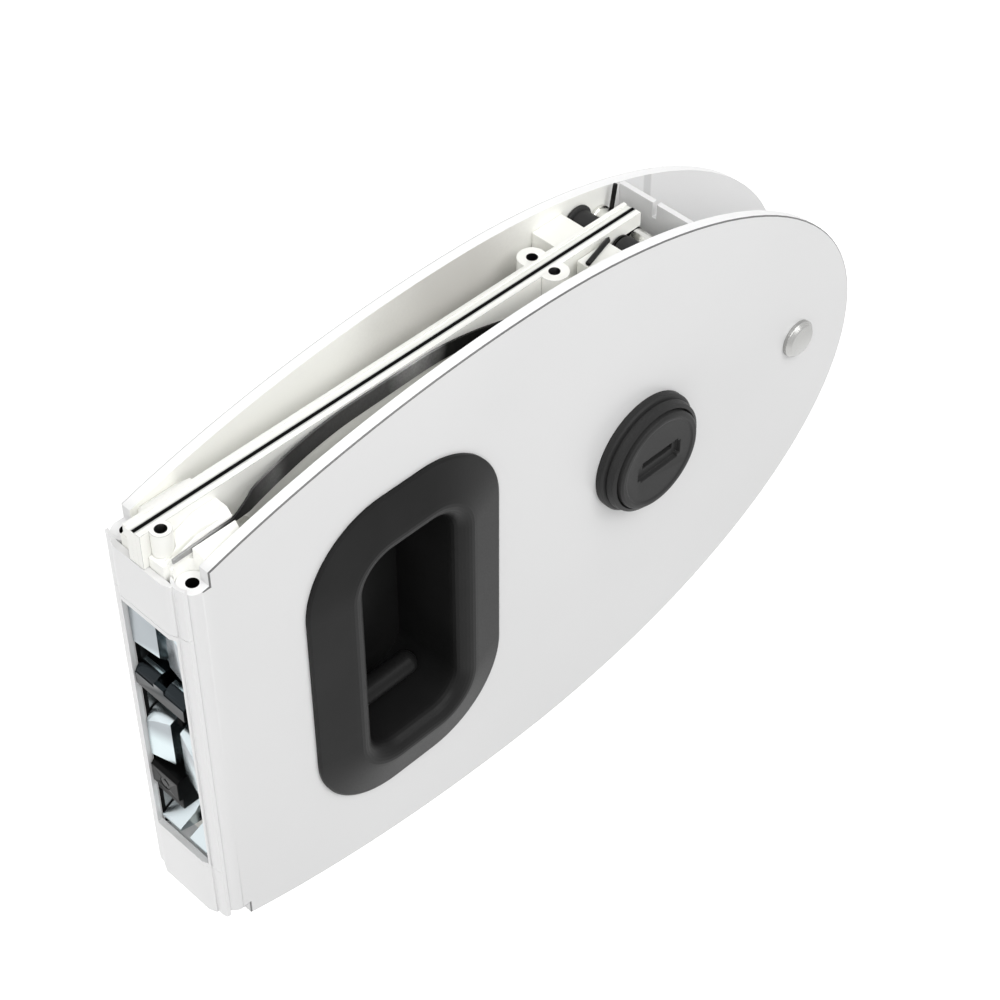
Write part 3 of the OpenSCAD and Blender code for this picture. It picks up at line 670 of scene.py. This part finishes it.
def rod(bm, start, end, radius):
    """A round wire between two points in millimetres, with eased ends."""
    a, b = Vector(start), Vector(end)
    aim = (b - a).to_track_quat("Z", "Y").to_matrix().to_4x4()
    place = Matrix.Translation((a + b) / 2 * MM) @ aim
    made = bmesh.ops.create_cone(
        bm, cap_ends=True, segments=16, radius1=radius * MM, radius2=radius * MM,
        depth=(b - a).length * MM, matrix=place)
    fresh = set(made["verts"])
    rims = [e for e in bm.edges
            if e.verts[0] in fresh and any(len(f.verts) > 4 for f in e.link_faces)]
    bmesh.ops.bevel(bm, geom=rims, offset=radius * 0.3 * MM, segments=2, profile=0.5,
                    affect="EDGES", material=-1)


def make_wires():
    """Wire springs: one leg over the front block, one standing at the rear."""
    bm = bmesh.new()
    rod(bm, (129.0, -3.5, 62.15), (119.8, -6.1, 62.15), 0.62)
    rod(bm, (129.3, -3.3, 57.0), (129.3, -3.3, 62.4), 0.28)
    rod(bm, (143.5, 8.9, 55.0), (144.6, 8.9, 62.1), 0.55)
    turn_profile(bm, [(-3.2, 1.75), (-3.2, 3.3), (-2.7, 3.3), (-2.7, 1.75)], ROLLER, 32)
    blackened = len(bm.faces)
    turn_ring(bm, (9.7, 10.4), (2.85, 3.2), SHAFT)
    bm.faces.ensure_lookup_table()
    for face in bm.faces[blackened:]:
        face.material_index = 1
    bmesh.ops.recalc_face_normals(bm, faces=bm.faces)
    finishes = [FINISHES["spring_steel"], FINISHES["bright_steel"]]
    seat(make("wire_springs", bm, finishes), "roller_springs")


def make_clip():
    """Thin retaining clip in the groove of the cross shaft."""
    bm = bmesh.new()
    turn_ring(bm, (-0.62, -0.2), (2.3, SHAFT_R + 0.12), SHAFT, 48)
    bmesh.ops.recalc_face_normals(bm, faces=bm.faces)
    seat(make("groove_clip", bm, [FINISHES["spring_steel"]]), "shaft_clip")


def light(name, size, power, place, target):
    data = bpy.data.lights.new(name, "AREA")
    data.shape = "RECTANGLE"
    data.size, data.size_y = size
    data.energy = power
    obj = bpy.data.objects.new(name, data)
    obj.location = place
    aim = Vector(target) - Vector(place)
    obj.rotation_euler = aim.to_track_quat("-Z", "Y").to_euler()
    bpy.context.scene.collection.objects.link(obj)


def set_world():
    """A plain even sky, white where the camera or a gloss sees it."""
    scene = bpy.context.scene
    scene.view_settings.view_transform = "Standard"
    scene.world = bpy.data.worlds.new("white_room")
    scene.world.use_nodes = True
    net = Net(scene.world.node_tree)
    sky = net.tree.nodes["Background"]
    sky.inputs["Color"].default_value = (1, 1, 1, 1)
    lit = 0.46
    feed(net.tree, sky.inputs["Strength"], net.seen() * (1 - lit) + lit)


def lay_floor():
    """A pale floor under the latch that keeps its shadow."""
    pale = Finish("pale_floor", Base_Color=(0.85, 0.85, 0.85, 1), Roughness=0.9,
                  Emission_Color=(1, 1, 1, 1))
    pale.drive("Emission Strength", pale.seen() * 0.62)
    bm = bmesh.new()
    bmesh.ops.create_grid(bm, x_segments=2, y_segments=2, size=6.0)
    bmesh.ops.translate(bm, verts=bm.verts, vec=(0, 0, -0.5))
    make("floor", bm, [pale.mat])


place_camera()
finish_nodes()
dress_case()
make_leaf()
make_rollers()
make_wires()
make_clip()
set_world()
lay_floor()
light("key", (0.6, 0.6), 5.0, (-0.50, -0.60, 0.85), (0.1, 0, 0))
light("top", (0.4, 0.4), 2.1, (0.22, -0.42, 0.52), (0.12, 0, 0.02))
light("side", (0.5, 0.6), 2.3, (-1.0, 0.0, 0.2), (0, 0, 0))
light("rear", (0.6, 0.6), 2.6, (0.3, 0.9, 0.3), (0.1, 0, 0))
